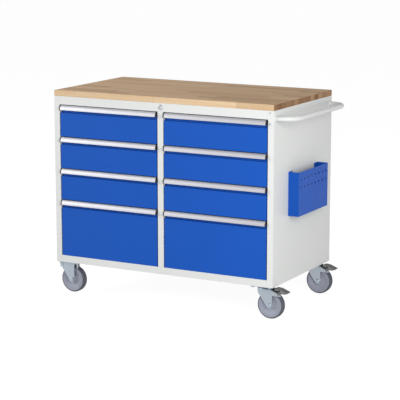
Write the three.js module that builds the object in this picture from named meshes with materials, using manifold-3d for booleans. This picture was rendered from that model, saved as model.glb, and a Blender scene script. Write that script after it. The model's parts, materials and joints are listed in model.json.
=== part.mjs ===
// Mobile workbench: a folded-steel cabinet with two columns of four drawers, a beech worktop, a central
// lock, a push bar and a document box on one side, on two fixed and two swivel casters.
// Millimetres, +Z up, the drawers face -Y and the push bar is on the +X side.
import * as THREE from 'three';
import { mergeVertices } from 'three/addons/utils/BufferGeometryUtils.js';
import Module from 'manifold-3d';

const wasm = await Module();
wasm.setup();

// Driving dimensions: the body
const bodyWidth = 1140;
const bodyDepth = 620;
const casterHeight = 150;
const cabinetHeight = 792;
const worktopThickness = 27;
const sheet = 1.5;              // folded steel sheet of the cabinet and the drawers
const stileWidth = 29;          // folded front edges of the sides and of the partition
const foldDepth = 25;           // how far the stiles and rails are folded back
const flangeWidth = 20;         // inward folds at the back and top of the sides
const topRailHeight = 39;
const bottomRailHeight = 33;

// Driving dimensions: the drawers, from the top one down
const drawerPitches = [150, 150, 150, 270];
const drawerSideGap = 5;        // each side of a front in its opening
const slideBarGap = 3;          // each side of the slide bars in the opening
const drawerTopGap = 3;
const drawerBottomGap = 0.5;
const recessDepth = 12;         // finger recess behind the grip strip
const frontDepth = recessDepth + sheet;
const gripHeight = 22;
const gripReach = 10.5;         // how far the grip's lip stands in front of the cabinet
const gripWall = 2;
const lipDepth = 4;
const webDepth = 10;            // the grip's inner edge, down behind the recess's wall
const recessHeight = 36;        // from the grip's top edge to the recess's ledge
const drawerBoxLength = 560;
const drawerBoxHeights = [110, 110, 110, 220];
const slideThickness = 13.5;    // each side, between the opening's edge and the drawer box
const trayClearance = 12;       // under the tray, above the bottom of its opening
const slideBarHeight = 16;      // bar on the tray's side, inside the rail
const slideBarInset = { front: 8, back: 12 };
const railHeight = 45;
const railPitch = 150;
const railDrop = 100;           // from the top of the openings to the first rail's centre line
const railLength = 550;
const railLip = 6;
const railCount = 4;
const postWidth = 30;           // channel posts that carry the rails
const postOffset = 200;         // each side of the cabinet's middle
const postOverlap = 10;         // above the first rail and below the last

// Driving dimensions: what is fixed to the body
const lockDrop = 19;            // lock centre below the top of the cabinet
const lockRadius = 10.4;
const lockRim = 2;              // the rim's overhang round the barrel
const keySlot = { width: 1.8, height: 8, depth: 1.5 };
const lockBar = { x: [2, 14], thickness: 2.5, gap: 1, travel: 10 };
const barRadius = 11;           // push bar tube
const barReach = 95;            // outer face of the push bar from the side
const barHeight = 756;          // push bar centre line above the cabinet's bottom
const barHalfSpan = 290;
const barBend = 58;
const boxReach = 52;            // document box
const boxHalfWidth = 158;
const boxBottom = 301;          // above the cabinet's bottom
const boxHeight = 200;
const boxFlange = 40;
const perforation = 10;
const perforationPitch = 38;
const perforationColumns = 8;
const perforationRows = [32, 70]; // below the box's top edge

// Driving dimensions: casters
const wheelRadius = 62.5;
const tyreHalfWidth = 18;
const coreRadius = 46;
const wheelFacets = 28;
const casterInset = 47;         // wheel planes from the front and back of the cabinet
const fixedWheelX = -502;
const swivelAxisX = 504;
const trail = 38;               // swivel axis to wheel axle
const forkHalfWidth = 24;
const forkSheet = 2.5;
const noseReach = 30;           // rounded front of a fork, ahead of the swivel axis
const noseFoot = 122;           // lower edge of the nose, above the floor
const cheekEnd = 14;            // trailing edge of a cheek, behind the axle
const housingFoot = 109;        // lower edge of the brake housing, above the floor
const casterPlate = { x: 105, y: 80, z: 3.5 };
const crownTop = casterHeight - 12;
const raceBottom = casterHeight - 9; // lower face of the upper ball race
const raceRadius = 26;
const axleRadius = 6;
const axleHead = { radius: 9.5, length: 6 };
const pedalPivot = { x: 82, z: 118 };
const pinRadius = 4;
const clearance = 0.3;

// Places worked out from the driving dimensions, on the cabinet's centre line and above the floor
const halfWidth = bodyWidth / 2;
const front = -bodyDepth / 2;
const back = bodyDepth / 2;
const cabinetTop = casterHeight + cabinetHeight;
const openBottom = casterHeight + bottomRailHeight;
const openTop = cabinetTop - topRailHeight;
const openOuter = halfWidth - stileWidth;
const openInner = stileWidth / 2;
const backFold = back - sheet;  // back sheet lies behind this plane
const overall = {
  minX: -halfWidth,
  maxX: halfWidth + barReach,
  minY: front - gripReach,
  maxY: back,
};

const materials = {
  bodyGrey: new THREE.MeshStandardMaterial({ color: 0xdcdedd, roughness: 0.5, metalness: 0.1 }),
  drawerBlue: new THREE.MeshStandardMaterial({ color: 0x2458b8, roughness: 0.45, metalness: 0.1 }),
  drawerGrey: new THREE.MeshStandardMaterial({ color: 0xc9cccc, roughness: 0.5, metalness: 0.1 }),
  beech: new THREE.MeshStandardMaterial({ color: 0xc9a275, roughness: 0.5, metalness: 0 }),
  gripAluminium: new THREE.MeshStandardMaterial({ color: 0xd5d9df, roughness: 0.3, metalness: 0.9 }),
  zinc: new THREE.MeshStandardMaterial({ color: 0xa9b5c0, roughness: 0.4, metalness: 0.8 }),
  chrome: new THREE.MeshStandardMaterial({ color: 0xb9bcc4, roughness: 0.2, metalness: 1 }),
  tyreGrey: new THREE.MeshStandardMaterial({ color: 0x4b4e57, roughness: 0.8, metalness: 0 }),
  coreGrey: new THREE.MeshStandardMaterial({ color: 0x8d92a0, roughness: 0.55, metalness: 0 }),
};

const workbench = new THREE.Group();
workbench.position.set(-(overall.minX + overall.maxX) / 2, -(overall.minY + overall.maxY) / 2, 0);

function addPart(name, geometry, material, parent = workbench) {
  const mesh = new THREE.Mesh(geometry, material);
  mesh.name = name;
  parent.add(mesh);
  return mesh;
}

function addGroup(x, y, z) {
  const group = new THREE.Group();
  group.position.set(x, y, z);
  workbench.add(group);
  return group;
}

// Solids for cutting and joining

function toSolid(geometry) {
  const bare = geometry.clone();
  bare.deleteAttribute('normal');
  bare.deleteAttribute('uv');
  const merged = mergeVertices(bare, 1e-4);
  const vertProperties = new Float32Array(merged.attributes.position.array);
  const triVerts = new Uint32Array(merged.index.array);
  return new wasm.Manifold(new wasm.Mesh({ numProp: 3, vertProperties, triVerts }));
}

// Flat faces that came from several pieces are merged before the triangles are read back.
function toGeometry(solid) {
  const { vertProperties, triVerts, numProp } = solid.asOriginal().simplify(0.01).getMesh();
  const positions = new Float32Array(triVerts.length * 3);
  for (let corner = 0; corner < triVerts.length; corner += 1) {
    for (let axis = 0; axis < 3; axis += 1) {
      positions[corner * 3 + axis] = vertProperties[triVerts[corner] * numProp + axis];
    }
  }
  const geometry = new THREE.BufferGeometry();
  geometry.setAttribute('position', new THREE.BufferAttribute(positions, 3));
  geometry.computeVertexNormals();
  return geometry;
}

function join(geometries) {
  return geometries.map(toSolid).reduce((whole, piece) => whole.add(piece));
}

function cut(solid, geometries) {
  return geometries.map(toSolid).reduce((whole, piece) => whole.subtract(piece), solid);
}

// Plain shapes, placed

function block([x0, x1], [y0, y1], [z0, z1]) {
  const geometry = new THREE.BoxGeometry(x1 - x0, y1 - y0, z1 - z0);
  return geometry.translate((x0 + x1) / 2, (y0 + y1) / 2, (z0 + z1) / 2);
}

function mirrored([low, high]) {
  return [-high, -low];
}

// A section drawn in Y and Z, drawn out along X
function alongX(outline, [x0, x1]) {
  const shape = new THREE.Shape(outline.map(([y, z]) => new THREE.Vector2(y, z)));
  const geometry = new THREE.ExtrudeGeometry(shape, { depth: x1 - x0, bevelEnabled: false });
  const basis = new THREE.Matrix4().makeBasis(
    new THREE.Vector3(0, 1, 0),
    new THREE.Vector3(0, 0, 1),
    new THREE.Vector3(1, 0, 0),
  );
  return geometry.applyMatrix4(basis).translate(x0, 0, 0);
}

// A side view drawn in X and Z, drawn out along Y
function alongY(shape, [y0, y1]) {
  const options = { depth: y1 - y0, bevelEnabled: false, curveSegments: 6 };
  return new THREE.ExtrudeGeometry(shape, options).rotateX(Math.PI / 2).translate(0, y1, 0);
}

// A round piece about Y, its profile given as [radius, y], with a flat facet at the bottom
function turnedY(profile, facets) {
  const points = profile.map(([radius, y]) => new THREE.Vector2(radius, y));
  return new THREE.LatheGeometry(points, facets, Math.PI / facets, Math.PI * 2);
}

// A round piece about Z, its profile given as [radius, z]
function turnedZ(profile, facets) {
  return turnedY(profile, facets).rotateX(Math.PI / 2);
}

// A plain round bar about Y, for holes and pins
function barY(radius, halfLength, facets) {
  return turnedY([[0, -halfLength], [radius, -halfLength], [radius, halfLength], [0, halfLength]], facets);
}

// Cabinet

function sidePanel(side) {
  const span = (low, high) => (side > 0 ? [low, high] : mirrored([low, high]));
  const height = [casterHeight, cabinetTop];
  return toGeometry(join([
    block(span(halfWidth - sheet, halfWidth), [front, backFold], height),
    block(span(openOuter, halfWidth), [front, front + sheet], height),
    block(span(openOuter, openOuter + sheet), [front, front + foldDepth], height),
    block(span(halfWidth - flangeWidth, halfWidth), [backFold - sheet, backFold], height),
    block(span(halfWidth - flangeWidth, halfWidth), [front + foldDepth, backFold],
      [cabinetTop - sheet, cabinetTop]),
  ]));
}

function frontRail(bottom, top) {
  const width = [-openOuter, openOuter];
  return join([
    block(width, [front, front + sheet], [bottom, top]),
    block(width, [front, front + foldDepth], [bottom, bottom + sheet]),
    block(width, [front, front + foldDepth], [top - sheet, top]),
  ]);
}

function topRail() {
  const lockZ = cabinetTop - lockDrop;
  const hole = barY(lockRadius + 3 * clearance, 2 * sheet, 24).translate(0, front, lockZ);
  return toGeometry(cut(frontRail(openTop, cabinetTop), [hole]));
}

function bottomPanel() {
  const inside = halfWidth - sheet;
  const run = [front + foldDepth, backFold - sheet];
  const tray = join([block([-inside, inside], run, [casterHeight, casterHeight + foldDepth])]);
  const hollow = block([sheet - inside, inside - sheet], [run[0] - sheet, run[1] - sheet],
    [casterHeight + 2 * sheet, casterHeight + foldDepth + sheet]);
  return toGeometry(cut(tray, [hollow]));
}

function centrePartition() {
  const height = [openBottom, openTop];
  const web = [-sheet / 2, sheet / 2];
  const clearOfRails = front + foldDepth + clearance;
  return toGeometry(join([
    block([-openInner, openInner], [front, front + sheet], height),
    block([openInner - sheet, openInner], [front, front + foldDepth], height),
    block([-openInner, sheet - openInner], [front, front + foldDepth], height),
    block(web, [front, clearOfRails], height),
    block(web, [clearOfRails, backFold - 2 * sheet - clearance],
      [casterHeight + 2 * sheet, cabinetTop]),
  ]));
}

// One side of one column: two channel posts that carry the four fixed drawer rails
function runnerFrame([wallX, openingX]) {
  const towards = Math.sign(openingX - wallX);
  const span = (near, far) => (towards > 0 ? [wallX + near, wallX + far] : [wallX - far, wallX - near]);
  const reach = Math.abs(openingX - wallX);
  const firstRail = openTop - railDrop;
  const rails = Array.from({ length: railCount }, (_, row) => firstRail - row * railPitch);
  const halfPost = postWidth / 2;
  const postReach = railHeight / 2 + postOverlap;
  const posts = [rails[railCount - 1] - postReach, firstRail + postReach];
  const pieces = [];
  for (const y of [-postOffset, postOffset]) {
    pieces.push(block(span(reach - 2 * sheet, reach - sheet), [y - halfPost, y + halfPost], posts));
    for (const edge of [y - halfPost, y + halfPost - sheet]) {
      pieces.push(block(span(0, reach - sheet), [edge, edge + sheet], posts));
    }
  }
  for (const z of rails) {
    const run = [-railLength / 2, railLength / 2];
    const bottom = z - railHeight / 2;
    const top = z + railHeight / 2;
    pieces.push(block(span(reach - sheet, reach), run, [bottom, top]));
    for (const lip of [bottom, top - sheet]) {
      pieces.push(block(span(reach - sheet, reach + railLip), run, [lip, lip + sheet]));
    }
  }
  return toGeometry(join(pieces));
}

function addCabinet() {
  addPart('left_side_panel', sidePanel(-1), materials.bodyGrey);
  addPart('right_side_panel', sidePanel(1), materials.bodyGrey);
  addPart('back_panel', block([-halfWidth, halfWidth], [backFold, back], [casterHeight, cabinetTop]),
    materials.bodyGrey);
  addPart('top_rail', topRail(), materials.bodyGrey);
  addPart('bottom_rail', toGeometry(frontRail(casterHeight, openBottom)), materials.bodyGrey);
  addPart('bottom_panel', bottomPanel(), materials.bodyGrey);
  addPart('centre_partition', centrePartition(), materials.bodyGrey);
  addPart('worktop', block([-halfWidth, halfWidth], [front, back],
    [cabinetTop, cabinetTop + worktopThickness]), materials.beech);
  const wall = halfWidth - sheet;
  addPart('runners_left_outer', runnerFrame([-wall, -openOuter]), materials.zinc);
  addPart('runners_left_inner', runnerFrame([-sheet / 2, -openInner]), materials.zinc);
  addPart('runners_right_inner', runnerFrame([sheet / 2, openInner]), materials.zinc);
  addPart('runners_right_outer', runnerFrame([wall, openOuter]), materials.zinc);
}

// Drawers. Each one is built from the bottom left corner of its opening.

function drawerFront(width, pitch) {
  const top = pitch - drawerTopGap;
  const ledge = top - recessHeight;
  const bottom = drawerBottomGap;
  const wall = front + recessDepth;
  const section = [
    [front, bottom],
    [front + frontDepth, bottom],
    [front + frontDepth, bottom + sheet],
    [front + sheet, bottom + sheet],
    [front + sheet, ledge - sheet],
    [front + frontDepth, ledge - sheet],
    [front + frontDepth, top - gripWall - clearance],
    [wall, top - gripWall - clearance],
    [wall, ledge],
    [front, ledge],
  ];
  const span = [drawerSideGap, width - drawerSideGap];
  const returns = [span[0], span[1] - sheet].map((x) =>
    block([x, x + sheet], [front, front + frontDepth], [bottom, ledge]));
  return toGeometry(join([alongX(section, span), ...returns]));
}

// Aluminium strip: a sloping face with a lip at its foot, and a web that caps the front's recess
function gripStrip(width, pitch) {
  const top = pitch - drawerTopGap;
  const lip = front - gripReach;
  const foot = top - gripHeight;
  const underside = top - gripWall;
  const hook = front + frontDepth + clearance;
  const section = [
    [front, top],
    [lip, foot],
    [lip + lipDepth, foot],
    [lip + lipDepth, foot + gripWall],
    [lip + lipDepth - sheet, foot + gripWall],
    [front + sheet, underside],
    [hook, underside],
    [hook, top - webDepth],
    [hook + gripWall, top - webDepth],
    [hook + gripWall, top],
  ];
  return alongX(section.reverse(), [drawerSideGap, width - drawerSideGap]);
}

// Open tray with a slide bar on each side, which runs inside the cabinet's rail
function drawerBox(width, height, slideZ) {
  const start = front + frontDepth + gripWall + 2 * clearance;
  const run = [start, start + drawerBoxLength];
  const left = slideThickness;
  const right = width - slideThickness;
  const floor = trayClearance;
  const top = floor + height;
  const halfBar = slideBarHeight / 2;
  const tray = join([block([left, right], run, [floor, top])]);
  const hollow = block([left + sheet, right - sheet], [run[0] + sheet, run[1] - sheet],
    [floor + sheet, top + sheet]);
  const slideRun = [run[0] + slideBarInset.front, run[1] - slideBarInset.back];
  const outerFaces = [slideBarGap, width - slideBarGap];
  const slides = [[outerFaces[0], left + sheet / 2], [right - sheet / 2, outerFaces[1]]].map((span) =>
    block(span, slideRun, [slideZ - halfBar, slideZ + halfBar]));
  return toGeometry(slides.map(toSolid).reduce((whole, slide) => whole.add(slide), cut(tray, [hollow])));
}

function addDrawers() {
  const width = openOuter - openInner;
  for (const [side, x] of [['left', -openOuter], ['right', openInner]]) {
    let top = openTop;
    drawerPitches.forEach((pitch, row) => {
      const bottom = top - pitch;
      const slideZ = openTop - railDrop - row * railPitch - bottom;
      const name = `drawer_${side}_${row + 1}`;
      const drawer = addGroup(x, 0, bottom);
      addPart(`${name}_box`, drawerBox(width, drawerBoxHeights[row], slideZ), materials.drawerGrey, drawer);
      addPart(`${name}_front`, drawerFront(width, pitch), materials.drawerBlue, drawer);
      addPart(`${name}_grip`, gripStrip(width, pitch), materials.gripAluminium, drawer);
      top = bottom;
    });
  }
}

// Central lock: the cylinder turns in the top rail and lifts the bar behind the partition's stile.

function lockCylinder() {
  const rim = lockRadius + lockRim;
  const face = -lockRim - 1 - clearance;
  const rear = foldDepth - 2;
  const barrel = turnedY([
    [0, face], [rim - 1, face], [rim, face + 1], [rim, -clearance],
    [lockRadius, -clearance], [lockRadius, rear], [0, rear],
  ], 24);
  const slot = block([-keySlot.width / 2, keySlot.width / 2], [face - 1, face + keySlot.depth],
    [-keySlot.height / 2, keySlot.height / 2]);
  return toGeometry(cut(join([barrel]), [slot]));
}

function addLock() {
  const lockZ = cabinetTop - lockDrop;
  const lock = addGroup(0, front, lockZ);
  addPart('lock_cylinder', lockCylinder(), materials.chrome, lock);
  const barFront = front + foldDepth + lockBar.gap;
  addPart('lock_bar', block(lockBar.x, [barFront, barFront + lockBar.thickness],
    [openBottom + lockBar.travel, lockZ + lockRadius / 2]), materials.zinc);
}

// Push bar: a bent tube, both ends welded to the side

class BentBar extends THREE.Curve {
  getPoint(t, target = new THREE.Vector3()) {
    const reach = barReach - barRadius;
    const stub = reach - barBend;
    const straight = 2 * (barHalfSpan - barBend);
    const arc = (barBend * Math.PI) / 2;
    const length = 2 * stub + 2 * arc + straight;
    const mirror = t > 0.5 ? -1 : 1;
    const s = (t > 0.5 ? 1 - t : t) * length;
    if (s <= stub) {
      return target.set(s, -mirror * barHalfSpan, 0);
    }
    if (s <= stub + arc) {
      const angle = (s - stub) / barBend;
      const x = stub + barBend * Math.sin(angle);
      const y = barHalfSpan - barBend * (1 - Math.cos(angle));
      return target.set(x, -mirror * y, 0);
    }
    return target.set(reach, -mirror * (barHalfSpan - barBend - (s - stub - arc)), 0);
  }
}

function addPushBar() {
  const section = new THREE.Shape().absarc(0, 0, barRadius, 0, Math.PI * 2);
  const bar = new THREE.ExtrudeGeometry(section,
    { steps: 36, extrudePath: new BentBar(), curveSegments: 6 });
  const placed = addGroup(halfWidth, 0, casterHeight + barHeight);
  addPart('push_bar', bar, materials.bodyGrey, placed);
}

// Document box: open at the top, with two rows of square perforations and flanges screwed to the side

function documentBox() {
  const y = [-boxHalfWidth, boxHalfWidth];
  const z = [0, boxHeight];
  const shell = join([
    block([boxReach - sheet, boxReach], y, z),
    block([0, boxReach], [y[0], y[0] + sheet], z),
    block([0, boxReach], [y[1] - sheet, y[1]], z),
    block([0, boxReach], y, [0, sheet]),
    block([0, sheet], [y[0], y[0] + boxFlange], z),
    block([0, sheet], [y[1] - boxFlange, y[1]], z),
  ]);
  const holes = [];
  for (const row of perforationRows) {
    for (let column = 0; column < perforationColumns; column += 1) {
      const centreY = (column - (perforationColumns - 1) / 2) * perforationPitch;
      const centreZ = boxHeight - row;
      const half = perforation / 2;
      holes.push(block([boxReach - 2 * sheet, boxReach + sheet], [centreY - half, centreY + half],
        [centreZ - half, centreZ + half]));
    }
  }
  return toGeometry(cut(shell, holes));
}

function addDocumentBox() {
  const placed = addGroup(halfWidth, 0, casterHeight + boxBottom);
  addPart('document_box', documentBox(), materials.drawerBlue, placed);
}

// Casters. A wheel is built about its own centre, and a fork about its axle's foot on the floor.

function tyre() {
  const tread = wheelRadius / Math.cos(Math.PI / wheelFacets);
  return turnedY([
    [coreRadius + clearance, -15], [53, -tyreHalfWidth], [59.5, -16.5], [tread, -11],
    [tread, 11], [59.5, 16.5], [53, tyreHalfWidth], [coreRadius + clearance, 15],
    [coreRadius + clearance, -15],
  ], wheelFacets);
}

function wheelCore() {
  const bore = axleRadius + 2 * clearance;
  return turnedY([
    [bore, -20.5], [13, -20.5], [14.5, -12], [36, -12], [coreRadius, -15],
    [coreRadius, 15], [36, 12], [14.5, 12], [13, 20.5], [bore, 20.5], [bore, -20.5],
  ], wheelFacets);
}

function axle() {
  const head = forkHalfWidth + clearance;
  const end = head + axleHead.length;
  return turnedY([
    [0, -end], [axleHead.radius, -end], [axleHead.radius, -head], [axleRadius, -head],
    [axleRadius, head], [axleHead.radius, head], [axleHead.radius, end], [0, end],
  ], 12);
}

// Pressed fork: two cheeks joined by a rounded nose and a crown, trimmed to its side view.
// The axle is at x = 0 and the crown's centre is at x = -trail.
function forkShell(outline, top, crownEnd) {
  const nose = (halfY, reach, end) => {
    const shape = new THREE.Shape();
    shape.moveTo(end, -halfY);
    shape.lineTo(end, halfY);
    shape.lineTo(-trail, halfY);
    shape.absellipse(-trail, 0, reach, halfY, Math.PI / 2, 1.5 * Math.PI, false);
    return shape;
  };
  const rise = (shape, [z0, z1]) => new THREE.ExtrudeGeometry(shape,
    { depth: z1 - z0, bevelEnabled: false, curveSegments: 5 }).translate(0, 0, z0);
  const inner = [forkHalfWidth - forkSheet, noseReach - forkSheet];
  const far = 70;
  const low = wheelRadius / 2;
  const outside = toSolid(rise(nose(forkHalfWidth, noseReach, far), [low, top]));
  const inside = toSolid(rise(nose(inner[0], inner[1], far + 5), [low - 5, top - forkSheet]));
  const side = toSolid(alongY(outline, [-forkHalfWidth - 1, forkHalfWidth + 1]));
  const behindCrown = toSolid(block([crownEnd, far + 6], [-inner[0], inner[0]], [low, top + 1]));
  const hole = toSolid(barY(axleRadius + 2 * clearance, forkHalfWidth + 5, 12)
    .translate(0, 0, wheelRadius));
  return outside.subtract(inside).intersect(side).subtract(behindCrown).subtract(hole);
}

function cheekOutline(top, tail) {
  const outline = new THREE.Shape();
  outline.moveTo(-trail - noseReach - 1, top);
  outline.lineTo(-trail - noseReach - 1, noseFoot);
  outline.lineTo(-42, 98);
  outline.lineTo(-12, 55);
  outline.absarc(0, wheelRadius, cheekEnd, 1.18 * Math.PI, 2 * Math.PI, false);
  tail.forEach(([x, z]) => outline.lineTo(x, z));
  return outline;
}

function fixedFork() {
  const plateBottom = casterHeight - casterPlate.z;
  const outline = cheekOutline(plateBottom, [[cheekEnd, plateBottom]]);
  const plateCentre = -cheekEnd;
  const plate = block([plateCentre - casterPlate.x / 2, plateCentre + casterPlate.x / 2],
    [-casterPlate.y / 2, casterPlate.y / 2], [plateBottom, casterHeight]);
  return toGeometry(forkShell(outline, plateBottom, cheekEnd).add(toSolid(plate)));
}

function swivelFork() {
  const housingEnd = pedalPivot.x - trail + 3 * pinRadius;
  const crownEnd = 5;
  const outline = cheekOutline(crownTop, [[cheekEnd, housingFoot], [housingEnd, housingFoot],
    [housingEnd + 2, housingFoot + 7], [crownEnd, crownTop]]);
  const lowerRace = raceBottom - clearance - crownTop;
  const race = turnedZ([[0, -forkSheet / 2], [raceRadius, -forkSheet / 2], [raceRadius, 0],
    [raceRadius - 3, lowerRace], [0, lowerRace]], 24).translate(-trail, 0, crownTop);
  const kingpinHole = barY(axleRadius + 3 * clearance, 10, 16).rotateX(Math.PI / 2)
    .translate(-trail, 0, crownTop);
  const pinHole = barY(pinRadius + 2 * clearance, forkHalfWidth + 5, 12)
    .translate(pedalPivot.x - trail, 0, pedalPivot.z);
  const shell = forkShell(outline, crownTop, crownEnd).add(toSolid(race));
  return toGeometry(cut(shell, [kingpinHole, pinHole]));
}

// Top plate with the upper ball race and the kingpin that holds the fork
function swivelPlate() {
  const plateBottom = casterHeight - casterPlate.z;
  const plate = block([-casterPlate.x / 2, casterPlate.x / 2], [-casterPlate.y / 2, casterPlate.y / 2],
    [plateBottom, casterHeight]);
  const pinHead = crownTop - forkSheet - clearance;
  const kingpin = turnedZ([
    [0, pinHead - 4], [10, pinHead - 4], [10, pinHead], [axleRadius, pinHead], [axleRadius, raceBottom],
    [raceRadius + 1, raceBottom], [raceRadius + 1, plateBottom + 1], [0, plateBottom + 1],
  ], 24);
  return toGeometry(join([plate, kingpin]));
}

// Brake pedal, drawn at its released position about the swivel axis
function brakePedal() {
  const side = new THREE.Shape([
    [58, 139], [62, 142.5], [87, 140.5], [123, 126], [122, 122.8], [88, 136.5], [86.5, 116],
    [77.5, 116], [80, 137.5], [63, 139],
  ].map(([x, z]) => new THREE.Vector2(x, z)));
  const halfWidthY = forkHalfWidth - forkSheet - 2;
  const lever = alongY(side, [-halfWidthY, halfWidthY]);
  const pin = barY(pinRadius, forkHalfWidth + 2, 12).translate(pedalPivot.x, 0, pedalPivot.z);
  return toGeometry(join([lever, pin]).translate([-trail, 0, 0]));
}

function addCasters() {
  const rows = { front: front + casterInset, rear: back - casterInset };
  for (const [row, y] of Object.entries(rows)) {
    for (const [side, axleX] of [['left', fixedWheelX], ['right', swivelAxisX + trail]]) {
      const name = `${row}_${side}`;
      const foot = addGroup(axleX, y, 0);
      if (side === 'left') {
        addPart(`fork_${name}`, fixedFork(), materials.zinc, foot);
      } else {
        addPart(`swivel_plate_${name}`, swivelPlate().translate(-trail, 0, 0), materials.zinc, foot);
        addPart(`fork_${name}`, swivelFork(), materials.zinc, foot);
        addPart(`brake_pedal_${name}`, brakePedal(), materials.zinc, foot);
      }
      const wheel = addGroup(axleX, y, wheelRadius);
      addPart(`axle_${name}`, axle(), materials.zinc, wheel);
      addPart(`wheel_${name}`, wheelCore(), materials.coreGrey, wheel);
      addPart(`tyre_${name}`, tyre(), materials.tyreGrey, wheel);
    }
  }
}

addCabinet();
addDrawers();
addLock();
addPushBar();
addDocumentBox();
addCasters();

export default workbench;
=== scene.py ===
import json
import math

import bmesh
import bpy
from mathutils import Matrix, Vector


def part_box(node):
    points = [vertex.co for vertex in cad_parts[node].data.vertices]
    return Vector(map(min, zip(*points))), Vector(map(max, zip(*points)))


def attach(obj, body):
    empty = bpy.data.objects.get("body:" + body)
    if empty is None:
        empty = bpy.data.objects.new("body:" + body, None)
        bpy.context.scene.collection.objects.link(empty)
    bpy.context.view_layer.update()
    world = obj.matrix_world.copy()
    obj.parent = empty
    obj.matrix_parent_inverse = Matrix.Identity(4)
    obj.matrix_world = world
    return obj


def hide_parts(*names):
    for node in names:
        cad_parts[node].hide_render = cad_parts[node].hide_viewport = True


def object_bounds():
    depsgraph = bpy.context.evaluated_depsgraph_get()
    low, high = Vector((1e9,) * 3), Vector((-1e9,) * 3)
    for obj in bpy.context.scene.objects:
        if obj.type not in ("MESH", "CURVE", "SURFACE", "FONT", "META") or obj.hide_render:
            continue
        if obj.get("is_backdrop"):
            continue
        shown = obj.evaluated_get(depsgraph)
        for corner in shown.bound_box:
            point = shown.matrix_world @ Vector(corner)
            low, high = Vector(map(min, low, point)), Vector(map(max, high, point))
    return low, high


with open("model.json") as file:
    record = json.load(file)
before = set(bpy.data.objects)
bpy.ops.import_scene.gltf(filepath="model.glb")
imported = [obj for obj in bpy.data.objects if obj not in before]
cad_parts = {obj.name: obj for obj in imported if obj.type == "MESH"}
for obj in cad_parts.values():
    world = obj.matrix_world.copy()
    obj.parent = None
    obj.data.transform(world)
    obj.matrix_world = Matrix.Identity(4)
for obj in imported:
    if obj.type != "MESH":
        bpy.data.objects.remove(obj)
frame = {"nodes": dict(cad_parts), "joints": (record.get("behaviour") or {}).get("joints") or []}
cad_low, cad_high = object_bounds()
nodes = frame["nodes"]
MM = 0.001


# ---------------------------------------------------------------- cabinet body
# Side panels, rails, floor tray, partition and back, all folded from 1.5 mm steel sheet and
# spot-welded into one body, then powder coated light grey. The folds have a small outer radius.

BODY_GREY = (0.62, 0.63, 0.62)
FOLD_RADIUS = 0.6 * MM


class Value:
    """A shader socket that takes part in Python sums: each operation adds a Math node."""

    def __init__(self, finish, socket):
        self.finish = finish
        self.socket = socket

    def math(self, operation, *others):
        inputs = dict(enumerate((self, *others)))
        return self.finish.node("ShaderNodeMath", {"operation": operation}, inputs)

    def __add__(self, other):
        return self.math("ADD", other)

    def __mul__(self, other):
        return self.math("MULTIPLY", other)

    def __sub__(self, other):
        return self.math("SUBTRACT", other)

    def __rsub__(self, other):
        return self.finish.node("ShaderNodeMath", {"operation": "SUBTRACT"}, {0: other, 1: self})

    def __truediv__(self, other):
        return self.math("DIVIDE", other)

    def above(self, limit):
        return self.math("GREATER_THAN", limit)

    __radd__ = __add__
    __rmul__ = __mul__


class Finish:
    """A material with one Principled shader. Uniform values are set on the shader itself."""

    def __init__(self, name, uniform):
        self.material = bpy.data.materials.new(name)
        self.material.use_nodes = True
        self.tree = self.material.node_tree
        self.shader = self.tree.nodes["Principled BSDF"]
        for socket, value in uniform.items():
            self.shader.inputs[socket].default_value = value
        self.place = self.node("ShaderNodeTexCoord", output="Object")

    def node(self, kind, settings=None, inputs=None, output=0):
        made = self.tree.nodes.new(kind)
        for name, value in (settings or {}).items():
            if name == "stops":
                ramp = made.color_ramp.elements
                while len(ramp) < len(value):
                    ramp.new(1.0)
                for stop, (position, colour) in zip(ramp, value):
                    stop.position = position
                    stop.color = (*colour, 1.0)
            else:
                setattr(made, name, value)
        for name, value in (inputs or {}).items():
            if isinstance(value, Value):
                self.tree.links.new(value.socket, made.inputs[name])
            else:
                made.inputs[name].default_value = value
        return Value(self, made.outputs[output])

    def stretched(self, x, y, z):
        return self.node("ShaderNodeVectorMath", {"operation": "MULTIPLY"},
                         {0: self.place, 1: (x, y, z)})

    def noise(self, scale, detail=2.0, at=None):
        return self.node("ShaderNodeTexNoise", None,
                         {"Vector": at or self.place, "Scale": scale, "Detail": detail})

    def mix(self, factor, low, high, blend="MIX"):
        low, high = (c if isinstance(c, Value) else (*c, 1.0) for c in (low, high))
        return self.node("ShaderNodeMix", {"data_type": "RGBA", "blend_type": blend},
                         {0: factor, 6: low, 7: high}, output=2)

    def bump(self, height, strength, distance):
        return self.node("ShaderNodeBump", None,
                         {"Height": height, "Strength": strength, "Distance": distance})

    def feed(self, **sockets):
        for name, value in sockets.items():
            self.tree.links.new(value.socket, self.shader.inputs[name.replace("_", " ")])
        return self.material


def shade(colour, factor):
    return tuple(part * factor for part in colour)


def powder_coat(name, colour, gloss=0.42, specular=0.4):
    """Baked powder paint: a fine orange peel, faint clouds in the colour, uneven gloss."""
    finish = Finish(name, {"Specular IOR Level": specular})
    clouds = finish.noise(5.0, 3.0)
    handling = finish.noise(22.0, 4.0)
    peel = finish.noise(900.0, 2.0) + 0.35 * finish.noise(260.0, 1.0)
    return finish.feed(
        Base_Color=finish.mix(clouds, shade(colour, 0.965), shade(colour, 1.035)),
        Roughness=gloss - 0.05 + 0.1 * handling,
        Normal=finish.bump(peel, 0.10, 0.15 * MM),
    )


def soften(node, material, radius, segments=2):
    """Gives a CAD node its finish and rounds its edges."""
    piece = nodes[node]
    piece.material_slots[0].material = material
    weld = piece.modifiers.new("weld", "WELD")
    weld.merge_threshold = 0.01 * MM
    rounding = piece.modifiers.new("rounding", "BEVEL")
    rounding.width = radius
    rounding.segments = segments
    rounding.limit_method = "ANGLE"
    rounding.angle_limit = math.radians(35)
    rounding.use_clamp_overlap = True


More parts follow.
